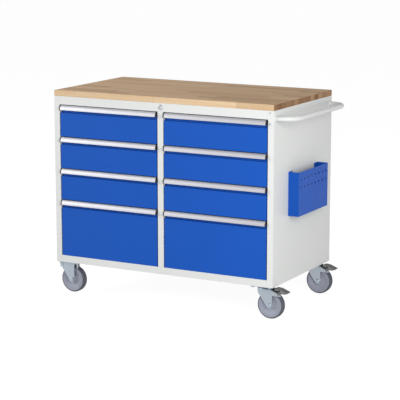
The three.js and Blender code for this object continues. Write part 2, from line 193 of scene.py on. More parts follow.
body_paint = powder_coat("body_grey_powder", BODY_GREY)
for panel in ("left_side_panel", "right_side_panel", "back_panel", "top_rail", "bottom_rail",
              "bottom_panel", "centre_partition"):
    soften(panel, body_paint, FOLD_RADIUS)


# ---------------------------------------------------------------- stile screws
# Two button-head screws with hexagon sockets in the right-hand stile, which hold the
# reinforcement behind the push bar's front leg.

STILE_SCREW_DROPS = (10 * MM, 59 * MM)      # below the top of the body
STILE_SCREW_OFFSET = 4 * MM                 # from the stile's middle, towards the drawers
SCREW_RADIUS = 3.6 * MM

body_low, body_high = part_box("right_side_panel")
FACING_FRONT = Matrix.Rotation(math.pi / 2, 4, "X")     # a turned piece's height points to -Y
FACING_RIGHT = Matrix.Rotation(math.pi / 2, 4, "Y")     # and here to +X
FACING_DOWN = Matrix.Rotation(math.pi, 4, "X")          # and here to -Z


def hexagon(angle):
    sixth = math.pi / 3
    return 1 / math.cos(angle % sixth - sixth / 2)


def turn(work, profile, place, sides=32, closed=False):
    """Adds a turned solid. A ring is (radius, height) or (radius, height, shape of the ring).
    The profile starts and ends on the axis, or is closed on itself."""
    rings = []
    for radius, height, *shape in profile:
        if radius == 0:
            rings.append([work.verts.new(place @ Vector((0, 0, height)))])
            continue
        ring = []
        for step in range(sides):
            angle = 2 * math.pi * step / sides
            reach = radius * (shape[0](angle) if shape else 1)
            spot = Vector((reach * math.cos(angle), reach * math.sin(angle), height))
            ring.append(work.verts.new(place @ spot))
        rings.append(ring)
    following = rings[1:] + rings[:1] if closed else rings[1:]
    for low, high in zip(rings, following):
        for step in range(sides):
            after = step + 1
            corners = (low[step % len(low)], low[after % len(low)],
                       high[after % len(high)], high[step % len(high)])
            work.faces.new(list(dict.fromkeys(corners)))


def make(name, work, material, body, replaces=(), rounding=0.0, crease=40):
    """Turns finished mesh work into a piece that rides on a body, and hides the CAD parts it
    replaces.
    """
    bmesh.ops.recalc_face_normals(work, faces=work.faces)
    mesh = bpy.data.meshes.new(name)
    work.to_mesh(mesh)
    work.free()
    mesh.materials.append(material)
    mesh.shade_smooth()
    mesh.set_sharp_from_angle(angle=math.radians(crease))
    piece = bpy.data.objects.new(name, mesh)
    bpy.context.scene.collection.objects.link(piece)
    if rounding:
        edge = piece.modifiers.new("rounding", "BEVEL")
        edge.width = rounding
        edge.segments = 2
        edge.limit_method = "ANGLE"
        edge.angle_limit = math.radians(crease)
        edge.harden_normals = True
    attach(piece, body)
    if replaces:
        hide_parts(*replaces)
    return piece


def zinc_plate(name, colour, roughness):
    """Bright zinc with a blue passivation that clouds a little and catches fine rub marks."""
    finish = Finish(name, {"Metallic": 0.85, "Specular IOR Level": 0.5})
    clouds = finish.noise(45.0, 4.0)
    rub = finish.noise(1.0, 3.0, at=finish.stretched(900.0, 160.0, 900.0))
    warm = (colour[0] * 1.06, colour[1], colour[2] * 0.9)
    return finish.feed(
        Base_Color=finish.mix(clouds, shade(colour, 0.93), warm),
        Roughness=roughness - 0.08 + 0.12 * clouds + 0.08 * rub,
        Normal=finish.bump(rub, 0.08, 0.05 * MM),
    )


zinc = zinc_plate("zinc_plated", (0.37, 0.43, 0.51), 0.28)


def button_screw(work, place, radius=SCREW_RADIUS):
    """Domed head with a hexagon socket, standing on a face."""
    socket = 0.36 * radius
    turn(work, [
        (0, 0.1 * radius), (socket, 0.1 * radius, hexagon), (socket, 0.5 * radius, hexagon),
        (0.55 * radius, 0.55 * radius), (0.82 * radius, 0.42 * radius),
        (0.97 * radius, 0.18 * radius), (radius, 0), (0, 0),
    ], place, sides=24)


stile_x = (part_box("top_rail")[1].x + body_high.x) / 2 - STILE_SCREW_OFFSET
screws = bmesh.new()
for drop in STILE_SCREW_DROPS:
    spot = Vector((stile_x, body_low.y, body_high.z - drop))
    button_screw(screws, Matrix.Translation(spot) @ FACING_FRONT)
make("stile_screws", screws, zinc, "cabinet")


# ---------------------------------------------------------------- worktop
# Solid beech, glued up from staves about 43 mm wide that are finger-jointed end to end, sanded
# and oiled. The long edge shows one stave, and the ends show every stave's growth rings.

STAVE_WIDTH = 43 * MM
STAVE_LENGTH = 420 * MM
GLUE_LINE = 0.5 * MM
RAY_BROWN = (0.30, 0.17, 0.08)
GLUE_BROWN = (0.24, 0.14, 0.07)
STREAK_BROWN = (0.44, 0.26, 0.13)
BEECH = ((0.62, 0.465, 0.285), (0.71, 0.545, 0.345), (0.46, 0.32, 0.18))
TOP_PAINTED_SHADE = (0.86, 0.80, 0.76)   # painted shade: the top face is darkened because more light falls on it than on the edges
END_GRAIN = ((0.18, 0.085, 0.035), (0.29, 0.165, 0.08), (0.38, 0.23, 0.115))
PITH_LEVEL = 0.93               # centre of the growth rings on a stave's end, and its spread
PITH_SPREAD = 0.05
RING_DENSITY = 2600.0
EDGE_RADIUS = 1.5 * MM


def beech_staves():
    finish = Finish("beech_staves", {"Specular IOR Level": 0.35})
    x, y, z = (finish.node("ShaderNodeSeparateXYZ", None, {0: finish.place}, output=axis)
               for axis in range(3))
    facing = finish.node("ShaderNodeTexCoord", output="Normal")
    end_face = finish.node("ShaderNodeSeparateXYZ", None, {0: facing}).math("ABSOLUTE").above(0.7)
    top_shade_mask = finish.node("ShaderNodeSeparateXYZ", None, {0: facing}, output=2).above(0.7)

    across = (y + 1.0) / STAVE_WIDTH
    row = across.math("FLOOR")
    shift = finish.node("ShaderNodeTexWhiteNoise", {"noise_dimensions": "1D"}, {"W": row})
    along = (x + 2.0) / STAVE_LENGTH + shift
    number = along.math("FLOOR") * (1 - end_face)
    label = finish.node("ShaderNodeCombineXYZ", None, {0: row, 1: number})
    tone = finish.node("ShaderNodeTexWhiteNoise", {"noise_dimensions": "2D"}, {"Vector": label})
    stave_colour = finish.node("ShaderNodeValToRGB", {"stops": (
        (0.0, BEECH[2]), (0.45, BEECH[0]), (1.0, BEECH[1]))}, {0: tone})

    # growth rings drawn out along the stave, the short dark rays of beech, and the glue lines
    drift = finish.node("ShaderNodeCombineXYZ", None, {0: tone * 7.0, 1: tone * 3.0, 2: row})
    long_grain = finish.node("ShaderNodeVectorMath", {"operation": "ADD"},
                             {0: finish.stretched(2.2, 75.0, 75.0), 1: drift})
    streaks = finish.noise(1.0, 5.0, at=long_grain)
    rays = finish.noise(1.0, 1.0, at=finish.stretched(110.0, 1400.0, 700.0)).above(0.63)
    seam_across = (across.math("FRACT") - 0.5).math("ABSOLUTE").above(0.5 - GLUE_LINE / STAVE_WIDTH)
    seam_along = (along.math("FRACT") - 0.5).math("ABSOLUTE").above(0.5 - GLUE_LINE / STAVE_LENGTH)
    seams = seam_across.math("MAXIMUM", seam_along * (1 - end_face))

    # growth rings cut across on the ends
    depth = (z - PITH_LEVEL - PITH_SPREAD * tone) * 1.4
    offset = across.math("FRACT") * STAVE_WIDTH - 0.06 * tone
    radius = (depth * depth + offset * offset).math("SQRT") + 0.0015 * finish.noise(60.0, 2.0)
    rings = (radius * RING_DENSITY).math("SINE") * 0.5 + 0.5

    grain = streaks * (1 - end_face) + rings * 0.45 * end_face
    colour = finish.mix(grain * 0.9 - 0.1, stave_colour, STREAK_BROWN)
    colour = finish.mix(rays * 0.28 * (1 - end_face), colour, RAY_BROWN)
    colour = finish.mix(seams * 0.6, colour, GLUE_BROWN)
    # painted shade: faces that point up are multiplied darker, to offset the stronger light on them
    colour = finish.mix(top_shade_mask, colour, finish.mix(1.0, colour, TOP_PAINTED_SHADE, "MULTIPLY"))
    end_colour = finish.node("ShaderNodeValToRGB", {"stops": (
        (0.1, END_GRAIN[0]), (0.5, END_GRAIN[1]), (0.9, END_GRAIN[2]))}, {0: tone})
    end_colour = finish.mix(rings * 0.3 + seams * 0.4, end_colour, shade(END_GRAIN[0], 0.6))
    colour = finish.mix(end_face, colour, end_colour)
    relief = grain * 0.6 - seams * 0.8 - rays * 0.4
    return finish.feed(
        Base_Color=colour,
        Roughness=0.46 + 0.12 * streaks + 0.15 * end_face,
        Normal=finish.bump(relief, 0.25, 0.12 * MM),
    )


soften("worktop", beech_staves(), EDGE_RADIUS, segments=3)


# ---------------------------------------------------------------- drawers
# A grey tray with a slide bar on each side, a blue front folded from one sheet with a finger
# recess along its top, and a crowned grip strip of extruded aluminium hooked over the recess.
# Black plastic caps close the strip's ends, and reach into the gaps beside the front, where their
# black is painted shade for the dark gap.

DRAWER_BLUE = (0.006, 0.076, 0.40)
TRAY_GREY = (0.60, 0.61, 0.61)
TRAY_SHEET = 1.5 * MM
SLIDE_BAR = 10.5 * MM           # stands outside the tray's wall, on each side
HEM_RADIUS = 1.6 * MM
FACE_STEPS = 10
FACE_PULL = (1.5 * MM, 6 * MM)  # where the crown is drawn to: behind the lip, below the top
GRIP_WALL = 2 * MM
GRIP_LIP = 4 * MM
GRIP_BEAD = 3 * MM
GRIP_WEB = 10 * MM
CAP_THICKNESS = 5 * MM
CAP_SHADE_OVERHANG = 1.5 * MM         # beyond the end of the front, into the gap, as painted shade
CAP_STANDS_OUT = 0.5 * MM
CAP_MARGIN = 1 * MM             # past the strip's lip and web


def drawn_aluminium():
    """Extruded and anodised strip: fine lines along its length."""
    finish = Finish("anodised_aluminium", {"Metallic": 0.9, "Specular IOR Level": 0.5})
    lines = finish.noise(1.0, 4.0, at=finish.stretched(3.0, 1500.0, 1500.0))
    clouds = finish.noise(12.0, 2.0)
    return finish.feed(
        Base_Color=finish.mix(lines, (0.43, 0.43, 0.46), (0.51, 0.51, 0.54)),
        Roughness=0.42 + 0.08 * clouds + 0.08 * lines,
        Normal=finish.bump(lines, 0.12, 0.05 * MM),
    )


def moulded(name, colour, roughness, grain=500.0):
    """Injection-moulded or cast polymer with a spark-eroded texture."""
    finish = Finish(name, {"Specular IOR Level": 0.4})
    texture = finish.noise(grain, 3.0)
    flow = finish.noise(14.0, 2.0)
    return finish.feed(
        Base_Color=finish.mix(flow, shade(colour, 0.93), shade(colour, 1.07)),
        Roughness=roughness - 0.05 + 0.1 * texture,
        Normal=finish.bump(texture, 0.18, 0.12 * MM),
    )


blue_paint = powder_coat("blue_powder", DRAWER_BLUE, gloss=0.42, specular=0.13)
tray_paint = powder_coat("tray_grey_powder", TRAY_GREY)
aluminium = drawn_aluminium()
black_plastic = moulded("black_plastic", (0.012, 0.012, 0.014), 0.45)


def prism(work, outline, shift):
    """Adds a closed prism: the outline's points, and the same points shifted."""
    near = [work.verts.new(point) for point in outline]
    far = [work.verts.new(Vector(point) + shift) for point in outline]
    work.faces.new(near)
    work.faces.new(far[::-1])
    for first, second in zip(range(len(near)), [*range(1, len(near)), 0]):
        work.faces.new((near[first], far[first], far[second], near[second]))


def sweep(work, path, radius, up, sides=20, closed=False):
    """Adds a round bar along a flat path of points. A closed path has mitred corners."""
    count = len(path)
    rings = []
    for place, point in enumerate(path):
        before = path[place - 1] if place or closed else point
        after = path[(place + 1) % count] if place + 1 < count or closed else point
        arriving = (point - before).normalized() if before != point else None
        leaving = (after - point).normalized() if after != point else None
        along = ((arriving or leaving) + (leaving or arriving)).normalized()
        side = along.cross(up)
        stretch = 1 / along.dot(leaving or arriving)
        ring = []
        for step in range(sides):
            angle = 2 * math.pi * step / sides
            wide = side * (radius * stretch * math.cos(angle))
            ring.append(work.verts.new(point + wide + up * (radius * math.sin(angle))))
        rings.append(ring)
    following = rings[1:] + rings[:1] if closed else rings[1:]
    for low, high in zip(rings, following):
        for step in range(sides):
            after = (step + 1) % sides
            work.faces.new((low[step], low[after], high[after], high[step]))
    if not closed:
        work.faces.new(rings[0][::-1])
        work.faces.new(rings[-1])


def grip_face(name):
    """The grip's crowned outer face, from the top edge down to the lip: points (y, z) and normals."""
    low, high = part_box(f"{name}_grip")
    top = Vector((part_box(f"{name}_front")[0].y, high.z))
    lip = Vector((low.y, low.z))
    crown = Vector((low.y + FACE_PULL[0], high.z - FACE_PULL[1]))
    points, normals = [], []
    for step in range(FACE_STEPS + 1):
        along = step / FACE_STEPS
        points.append((1 - along) ** 2 * top + 2 * along * (1 - along) * crown + along ** 2 * lip)
        run = ((1 - along) * (crown - top) + along * (lip - crown)).normalized()
        normals.append(Vector((run.y, -run.x)))
    return points, normals


def grip_strip(name):
    """The extruded section: crowned face, lip, and the web that hooks over the front's recess."""
    low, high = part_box(f"{name}_grip")
    points, normals = grip_face(name)
    inside = [point - normal * GRIP_WALL for point, normal in zip(points, normals)]
    hook, web_foot = high.y - GRIP_WALL, high.z - GRIP_WEB
    under_top = high.z - GRIP_WALL
    outline = points + [(low.y + GRIP_LIP, low.z), (low.y + GRIP_LIP, low.z + GRIP_WALL)]
    outline += inside[-2:0:-1]
    outline += [(points[0].x + GRIP_BEAD, under_top), (hook, under_top),
                (hook, web_foot), (high.y, web_foot), (high.y, high.z)]
    work = bmesh.new()
    start = low.x + CAP_THICKNESS - CAP_SHADE_OVERHANG
    length = high.x - low.x - 2 * (CAP_THICKNESS - CAP_SHADE_OVERHANG)
    prism(work, [Vector((start, y, z)) for y, z in outline], Vector((length, 0, 0)))
    make(f"{name}_grip_strip", work, aluminium, name, (f"{name}_grip",),
         rounding=0.3 * MM, crease=35)


def grip_caps(name):
    """Two plates that close the ends of the grip's section."""
    low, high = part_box(f"{name}_grip")
    points, normals = grip_face(name)
    outline = [(high.y, high.z)]
    outline += [point + normal * CAP_STANDS_OUT for point, normal in zip(points, normals)]
    outline += [(low.y - CAP_STANDS_OUT, low.z - CAP_STANDS_OUT),
                (low.y + GRIP_LIP + CAP_MARGIN, low.z - CAP_STANDS_OUT),
                (high.y, high.z - GRIP_WEB - CAP_MARGIN)]
    work = bmesh.new()
    # the caps stand past the front's ends into the gaps, where their black is painted shade
    for x in (low.x - CAP_SHADE_OVERHANG, high.x + CAP_SHADE_OVERHANG - CAP_THICKNESS):
        prism(work, [Vector((x, y, z)) for y, z in outline], Vector((CAP_THICKNESS, 0, 0)))
    make(f"{name}_caps", work, black_plastic, name, rounding=0.4 * MM)


def tray_hem(name):
    """The tray's walls end in a closed round hem, so that no sheet edge is bare."""
    low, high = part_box(f"{name}_box")
    inset = SLIDE_BAR + TRAY_SHEET / 2
    level = high.z + HEM_RADIUS / 2
    west, east = low.x + inset, high.x - inset
    south, north = low.y + TRAY_SHEET / 2, high.y - TRAY_SHEET / 2
    path = [Vector((x, y, level)) for x, y in
            ((west, south), (east, south), (east, north), (west, north))]
    work = bmesh.new()
    sweep(work, path, HEM_RADIUS, Vector((0, 0, 1)), sides=12, closed=True)
    make(f"{name}_hem", work, tray_paint, name)


for side in ("left", "right"):
    for row in range(1, 5):
        drawer = f"drawer_{side}_{row}"
        soften(f"{drawer}_front", blue_paint, 0.5 * MM)
        soften(f"{drawer}_box", tray_paint, 0.4 * MM)
        grip_strip(drawer)
        grip_caps(drawer)
        tray_hem(drawer)


# ---------------------------------------------------------------- runners
# Rolled steel channels on two posts at each side of each column, one for each drawer's slide
# bar. They are galvanised and left bare, and the posts are bolted to the panels.

galvanised = zinc_plate("galvanised_steel", (0.50, 0.53, 0.55), 0.45)
for frame_name in ("left_outer", "left_inner", "right_inner", "right_outer"):
    soften(f"runners_{frame_name}", galvanised, 0.3 * MM)


# ---------------------------------------------------------------- central lock
# A die-cast, nickel-plated cylinder in the top rail, with a turning core and a key slot, and
# the zinc-plated steel bar behind the rail that it lifts.

LOCK_CORE = 7.2 * MM
KEYHOLE = (0.9 * MM, 3.9 * MM)


def keyhole(angle):
    across = abs(math.cos(angle)) or 1e-9
    upright = abs(math.sin(angle)) or 1e-9
    return min(KEYHOLE[0] / across, KEYHOLE[1] / upright)


def nickel_plate():
    finish = Finish("nickel_plated", {"Metallic": 1.0})
    marks = finish.noise(400.0, 3.0)
    return finish.feed(
        Base_Color=finish.mix(marks, (0.50, 0.50, 0.53), (0.60, 0.60, 0.63)),
        Roughness=0.22 + 0.1 * marks,
        Normal=finish.bump(marks, 0.06, 0.05 * MM),
    )


lock_low, lock_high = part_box("lock_cylinder")
lock_centre = (lock_low + lock_high) / 2
rim = (lock_high.x - lock_low.x) / 2
stand = body_low.y - lock_low.y
lock = bmesh.new()
turn(lock, [
    (0, stand - 4 * MM), (1, stand - 4 * MM, keyhole), (1, stand - 0.4 * MM, keyhole),
    (LOCK_CORE - 0.4 * MM, stand - 0.4 * MM), (LOCK_CORE, stand - 0.8 * MM),
    (LOCK_CORE, stand - 1.6 * MM), (LOCK_CORE + 0.5 * MM, stand - 1.6 * MM),
    (LOCK_CORE + 0.5 * MM, stand - 0.3 * MM),
    (rim - 1.6 * MM, stand), (rim - 0.5 * MM, stand - 0.5 * MM), (rim, stand - 1.5 * MM),
    (rim, 0.3 * MM), (rim - 2 * MM, 0.3 * MM), (rim - 2 * MM, body_low.y - lock_high.y),
    (0, body_low.y - lock_high.y),
], Matrix.Translation((lock_centre.x, body_low.y, lock_centre.z)) @ FACING_FRONT, sides=64)
make("lock_barrel", lock, nickel_plate(), "lock_cylinder", ("lock_cylinder",))
soften("lock_bar", zinc, 0.4 * MM)


# ---------------------------------------------------------------- push bar
# One 22 mm round tube, bent at both ends and welded to the right-hand side under the worktop,
# coated with the body.

BAR_BEND = 72 * MM
BEND_STEPS = 16
WELD_THROAT = 3 * MM

bar_low, bar_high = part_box("push_bar")
bar_radius = (bar_high.z - bar_low.z) / 2
bar_level = (bar_high.z + bar_low.z) / 2
leg_front, leg_rear = bar_low.y + bar_radius, bar_high.y - bar_radius
bar_x = bar_high.x - bar_radius

path = [Vector((bar_low.x, leg_front, bar_level))]
for step in range(BEND_STEPS + 1):
    angle = math.pi / 2 * step / BEND_STEPS
    path.append(Vector((bar_x - BAR_BEND * (1 - math.sin(angle)),
                        leg_front + BAR_BEND * (1 - math.cos(angle)), bar_level)))
middle = (leg_front + leg_rear) / 2
path += [Vector((p.x, 2 * middle - p.y, p.z)) for p in reversed(path)]
bar = bmesh.new()
sweep(bar, path, bar_radius, Vector((0, 0, 1)), sides=32)
for leg in (leg_front, leg_rear):
    outer = bar_radius + WELD_THROAT
    turn(bar, [(bar_radius - 1 * MM, 0), (outer, 0), (outer - 0.6 * MM, 0.8 * MM),
               (bar_radius + 0.9 * MM, 1.7 * MM), (bar_radius + 0.1 * MM, WELD_THROAT),
               (bar_radius - 1 * MM, WELD_THROAT)],
         Matrix.Translation((bar_low.x, leg, bar_level)) @ FACING_RIGHT, closed=True)
make("push_bar_tube", bar, body_paint, "cabinet", ("push_bar",))


# ---------------------------------------------------------------- document box
# Steel sheet with two rows of square perforations, coated in the drawers' blue. It is open at
# the top and screwed to the side through the flanges at both ends, with a washer at each screw.

BOX_SHEET = 1.5 * MM
WASHER_RADIUS = 6.5 * MM
WASHER_SHEET = 1.1 * MM
BOX_SCREW_LEVELS = (30 * MM, 170 * MM)
FLANGE = 40 * MM

soften("document_box", blue_paint, 0.5 * MM)
box_low, box_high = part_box("document_box")
flange_face = box_low.x + BOX_SHEET
fixings = bmesh.new()
for y in (box_low.y + FLANGE / 2, box_high.y - FLANGE / 2):
    for level in BOX_SCREW_LEVELS:
        place = Matrix.Translation((flange_face, y, box_low.z + level)) @ FACING_RIGHT
        turn(fixings, [(0, 0), (WASHER_RADIUS, 0), (WASHER_RADIUS, 0.9 * MM), (6 * MM, WASHER_SHEET),
                       (0, WASHER_SHEET)], place)
        button_screw(fixings, place @ Matrix.Translation((0, 0, WASHER_SHEET)), radius=4.6 * MM)
make("document_box_screws", fixings, zinc, "cabinet")


# ---------------------------------------------------------------- wheels
# A grey thermoplastic rubber tyre moulded on a polypropylene core, which has a hub, a ringed
# web and a rim. Both are turned shapes about the axle's bore.

WHEEL_SIDES = 96
TYRE_GREY = (0.075, 0.08, 0.10)
CORE_GREY = (0.27, 0.285, 0.345)

rubber = moulded("grey_rubber", TYRE_GREY, 0.72, grain=350.0)
polypropylene = moulded("grey_polypropylene", CORE_GREY, 0.5)


def mirrored_profile(half):
    """A closed profile from its half on one side: (radius, height) from the inside outwards."""
    return ([(radius * MM, height * MM) for radius, height in half]
            + [(radius * MM, -height * MM) for radius, height in reversed(half)])


TYRE_PROFILE = mirrored_profile([
    (56.3, 15.2), (56.8, 16.6), (57.8, 16.8), (59.2, 16.1), (60.6, 14.8), (61.7, 12.9),
    (62.3, 10.8), (62.5, 8.6), (62.5, 1.2), (62.1, 0.8),
])
CORE_PROFILE = mirrored_profile([
    (6.7, 20.3), (7.6, 20.5), (12.2, 20.5), (13, 19.9), (13.3, 18), (13.6, 13.2), (14.8, 12.3),
    (20, 12.0), (20.6, 11.2), (21.8, 11.2), (22.4, 12.0), (34, 12.2), (36, 12.6), (37, 14.2),
    (38.2, 15.0), (44.4, 15.4), (45.0, 14.2), (46.6, 14.2), (47.2, 15.8), (51.6, 16.9), (52.1, 16.2),
    (53.1, 16.2), (53.6, 17.1), (55.6, 16.6), (56.2, 15.4),
])
CASTERS = [f"{row}_{side}" for row in ("front", "rear") for side in ("left", "right")]


def axle_place(caster):
    low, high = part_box(f"wheel_{caster}")
    return Matrix.Translation((low + high) / 2) @ FACING_FRONT


for caster in CASTERS:
    work = bmesh.new()
    turn(work, TYRE_PROFILE, axle_place(caster), WHEEL_SIDES, closed=True)
    make(f"tyre_moulding_{caster}", work, rubber, f"wheel_{caster}", (f"tyre_{caster}",))
    work = bmesh.new()
    turn(work, CORE_PROFILE, axle_place(caster), WHEEL_SIDES, closed=True)
    make(f"wheel_centre_{caster}", work, polypropylene, f"wheel_{caster}",
         (f"wheel_{caster}",))


# ---------------------------------------------------------------- axles
# A zinc-plated M12 bolt through both cheeks of a fork and the wheel's bore, with a washer under
# its hexagon head and under the lock nut on the other side.

AXLE = 6 * MM
CHEEK = 24 * MM                 # outer face of a fork's cheek, from the wheel's middle
HEAD = 8.6 * MM                 # half of the width across flats
AXLE_WASHER = 11.5 * MM


def axle_bolt(work, place):
    face = CHEEK + 0.1 * MM
    washer = face + 1.4 * MM
    head_top = CHEEK + 6.2 * MM
    turn(work, [
        (0, head_top), (HEAD * 0.93, head_top), (HEAD, head_top - 0.6 * MM, hexagon),
        (HEAD, washer, hexagon), (AXLE_WASHER, washer), (AXLE_WASHER, face), (AXLE, face),
        (AXLE, -face), (AXLE_WASHER, -face), (AXLE_WASHER, -washer), (HEAD, -washer, hexagon),
        (HEAD, 0.8 * MM - head_top, hexagon), (AXLE + 1 * MM, 0.4 * MM - head_top),
        (AXLE, -head_top), (0, -head_top),
    ], place, sides=48)


for caster in CASTERS:
    body = "cabinet" if caster.endswith("left") else f"caster_{caster}"
    work = bmesh.new()
    axle_bolt(work, axle_place(caster))
    make(f"axle_bolt_{caster}", work, zinc, body, (f"axle_{caster}",), crease=25)


# ---------------------------------------------------------------- caster forks
# Pressed from 2.5 mm steel and zinc plated: two flat cheeks that run forward into a rounded
# nose, closed by a crown with a folded edge. A fixed fork has its plate welded on, with a gusset
# folded down at each end, and a swivel fork carries the brake housing behind the axle.

FORK_SHEET = 2.5 * MM
NOSE_START = 28 * MM            # in front of the axle
NOSE_REACH = 40 * MM
NOSE_STEPS = 16
CROWN_FOLD = 3.5 * MM
FOLD_STEPS = 4
HOUSING_DEPTH = 7 * MM          # of the brake housing at its end
AXLE_HEIGHT = 62.5 * MM
CHEEK_TIP = 14 * MM             # radius of the cheek's foot round the axle
HOUSING_FOOT = 109 * MM
LEADING_EDGE = ((-12 * MM, 55 * MM), (-42 * MM, 98 * MM), (-69 * MM, 122 * MM))


def cheek_foot(x):
    """Height of the fork's lower edge over the floor, x behind the axle."""
    if x > CHEEK_TIP:
        return HOUSING_FOOT
    if x >= LEADING_EDGE[0][0]:
        return AXLE_HEIGHT - math.sqrt(max(CHEEK_TIP ** 2 - x ** 2, 0))
    (x0, z0), (x1, z1) = LEADING_EDGE[:2] if x >= LEADING_EDGE[1][0] else LEADING_EDGE[1:]
    return z0 + (z1 - z0) * (x - x0) / (x1 - x0)


def fork_plan(end):
    """Half of the outer line in plan, from the trailing edge to the nose: points and normals."""
    behind = [end, (end + CHEEK_TIP) / 2, CHEEK_TIP + 0.4 * MM] if end > CHEEK_TIP else []
    tip = [CHEEK_TIP * math.cos(math.radians(step)) for step in range(0, 150, 15)]
    straight = [-16 * MM, -22 * MM, -NOSE_START]
    line = [(Vector((x, CHEEK)), Vector((0, 1))) for x in behind + tip + straight]
    for step in range(1, NOSE_STEPS + 1):
        angle = math.pi / 2 * step / NOSE_STEPS
        point = Vector((-NOSE_START - NOSE_REACH * math.sin(angle), CHEEK * math.cos(angle)))
        normal = Vector((-CHEEK * math.sin(angle), NOSE_REACH * math.cos(angle))).normalized()
        line.append((point, normal))
    return line


def fork_shell(work, place, top, end, crown_end):
    """The pressed shell as one closed solid. Rows run from the lower edge up and over the fold."""
    half = fork_plan(end)
    whole = half + [(Vector((p.x, -p.y)), Vector((n.x, -n.y))) for p, n in reversed(half[:-1])]
    rise = (0, 0.25, 0.5, 0.75, 1)
    bends = [math.pi / 2 * step / FOLD_STEPS for step in range(1, FOLD_STEPS + 1)]
    skins = []
    for depth in (0, FORK_SHEET):
        fold = CROWN_FOLD - depth
        columns = []
        for point, normal in whole:
            slope = max(point.x - crown_end, 0) / max(end - crown_end, 1 * MM)
            lip = top - slope * (top - HOUSING_FOOT - HOUSING_DEPTH) - CROWN_FOLD
            foot = min(cheek_foot(point.x), lip)
            levels = [(depth, foot + (lip - foot) * part) for part in rise]
            levels += [(depth + fold * (1 - math.cos(bend)), lip + fold * math.sin(bend))
                       for bend in bends]
            columns.append([work.verts.new(place @ Vector((*(point - normal * inset), level)))
                            for inset, level in levels])
        skins.append(columns)
    outer, inner = skins
    last = len(whole) - 1
    for skin in skins:
        for first, second in zip(skin, skin[1:]):
            for low in range(len(first) - 1):
                work.faces.new((first[low], second[low], second[low + 1], first[low + 1]))
    for first in range(last):
        work.faces.new((outer[first][0], outer[first + 1][0], inner[first + 1][0], inner[first][0]))
    for column in (0, last):
        for low in range(len(outer[column]) - 1):
            work.faces.new((outer[column][low], outer[column][low + 1],
                            inner[column][low + 1], inner[column][low]))
    crown = [column for column, (point, _) in enumerate(whole) if point.x <= crown_end + 0.1 * MM]
    begin, finish = crown[0], crown[-1]
    for first in [*range(begin), *range(finish, last)]:
        work.faces.new((outer[first][-1], outer[first + 1][-1],
                        inner[first + 1][-1], inner[first][-1]))
    work.faces.new([outer[column][-1] for column in crown])
    work.faces.new([inner[column][-1] for column in crown])
    work.faces.new((outer[begin][-1], outer[finish][-1], inner[finish][-1], inner[begin][-1]))


def rounded_plate(work, centre, size, corner, bottom, top, steps=6):
    """A flat plate with rounded corners."""
    outline = []
    for quarter, (sx, sy) in enumerate(((1, 1), (-1, 1), (-1, -1), (1, -1))):
        middle_x = centre.x + sx * (size[0] / 2 - corner)
        middle_y = centre.y + sy * (size[1] / 2 - corner)
        for step in range(steps + 1):
            angle = math.pi / 2 * (quarter + step / steps)
            outline.append(Vector((middle_x + corner * math.cos(angle),
                                   middle_y + corner * math.sin(angle), bottom)))
    prism(work, outline, Vector((0, 0, top - bottom)))


PLATE_SHEET = 3.5 * MM
PLATE_CORNER = 7 * MM
BOLT_INSET = (11 * MM, 12 * MM)
TAB_WIDTH = 12 * MM             # gussets folded down at both ends of a fixed caster's plate
TAB_DROP = 30 * MM


def plate_bolts(work, centre, size, level):
    """Four hexagon bolts with washers under the plate's corners."""
    for sx in (-1, 1):
        for sy in (-1, 1):
            x = centre.x + sx * (size[0] / 2 - BOLT_INSET[0])
            y = centre.y + sy * (size[1] / 2 - BOLT_INSET[1])
            turn(work, [(0, 0), (8 * MM, 0), (8 * MM, 1.4 * MM), (6.3 * MM, 1.4 * MM, hexagon),
                        (6.3 * MM, 5.6 * MM, hexagon), (5.8 * MM, 6.2 * MM), (0, 6.2 * MM)],
                 Matrix.Translation((x, y, level)) @ FACING_DOWN, sides=24)


for row in ("front", "rear"):
    caster = f"{row}_left"
    low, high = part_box(f"fork_{caster}")
    axle_low, axle_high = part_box(f"wheel_{caster}")
    axle_x, plane = (axle_low.x + axle_high.x) / 2, (axle_low.y + axle_high.y) / 2
    plate_bottom = high.z - PLATE_SHEET
    work = bmesh.new()
    fork_shell(work, Matrix.Translation((axle_x, plane, 0)), plate_bottom, CHEEK_TIP, CHEEK_TIP)
    plate_centre = Vector(((low.x + high.x) / 2, plane))
    plate_size = (high.x - low.x, high.y - low.y)
    rounded_plate(work, plate_centre, plate_size, PLATE_CORNER, plate_bottom, high.z)
    plate_bolts(work, plate_centre, plate_size, plate_bottom)
    for end, inward in ((low.x, 1), (high.x, -1)):
        tab = [(end, plate_bottom), (end + inward * TAB_WIDTH, plate_bottom),
               (end + inward * 0.75 * TAB_WIDTH, plate_bottom - TAB_DROP),
               (end + inward * 0.5 * TAB_WIDTH, plate_bottom - TAB_DROP)]
        prism(work, [Vector((x, plane - CHEEK, z)) for x, z in tab], Vector((0, FORK_SHEET, 0)))
    make(f"fixed_fork_{caster}", work, zinc, "cabinet", (f"fork_{caster}",), crease=30)


# ---------------------------------------------------------------- swivel heads
# The bolted top plate carries the upper race of a double ball bearing, the fork's crown carries
# the lower one, and a riveted kingpin holds them together. All are pressed steel, zinc plated.

CROWN_TOP = 138 * MM
CROWN_END = 5 * MM
HOUSING_END = 56 * MM
RACE_RADIUS = 26 * MM
UPPER_RACE = 141 * MM           # its lower face, over the floor

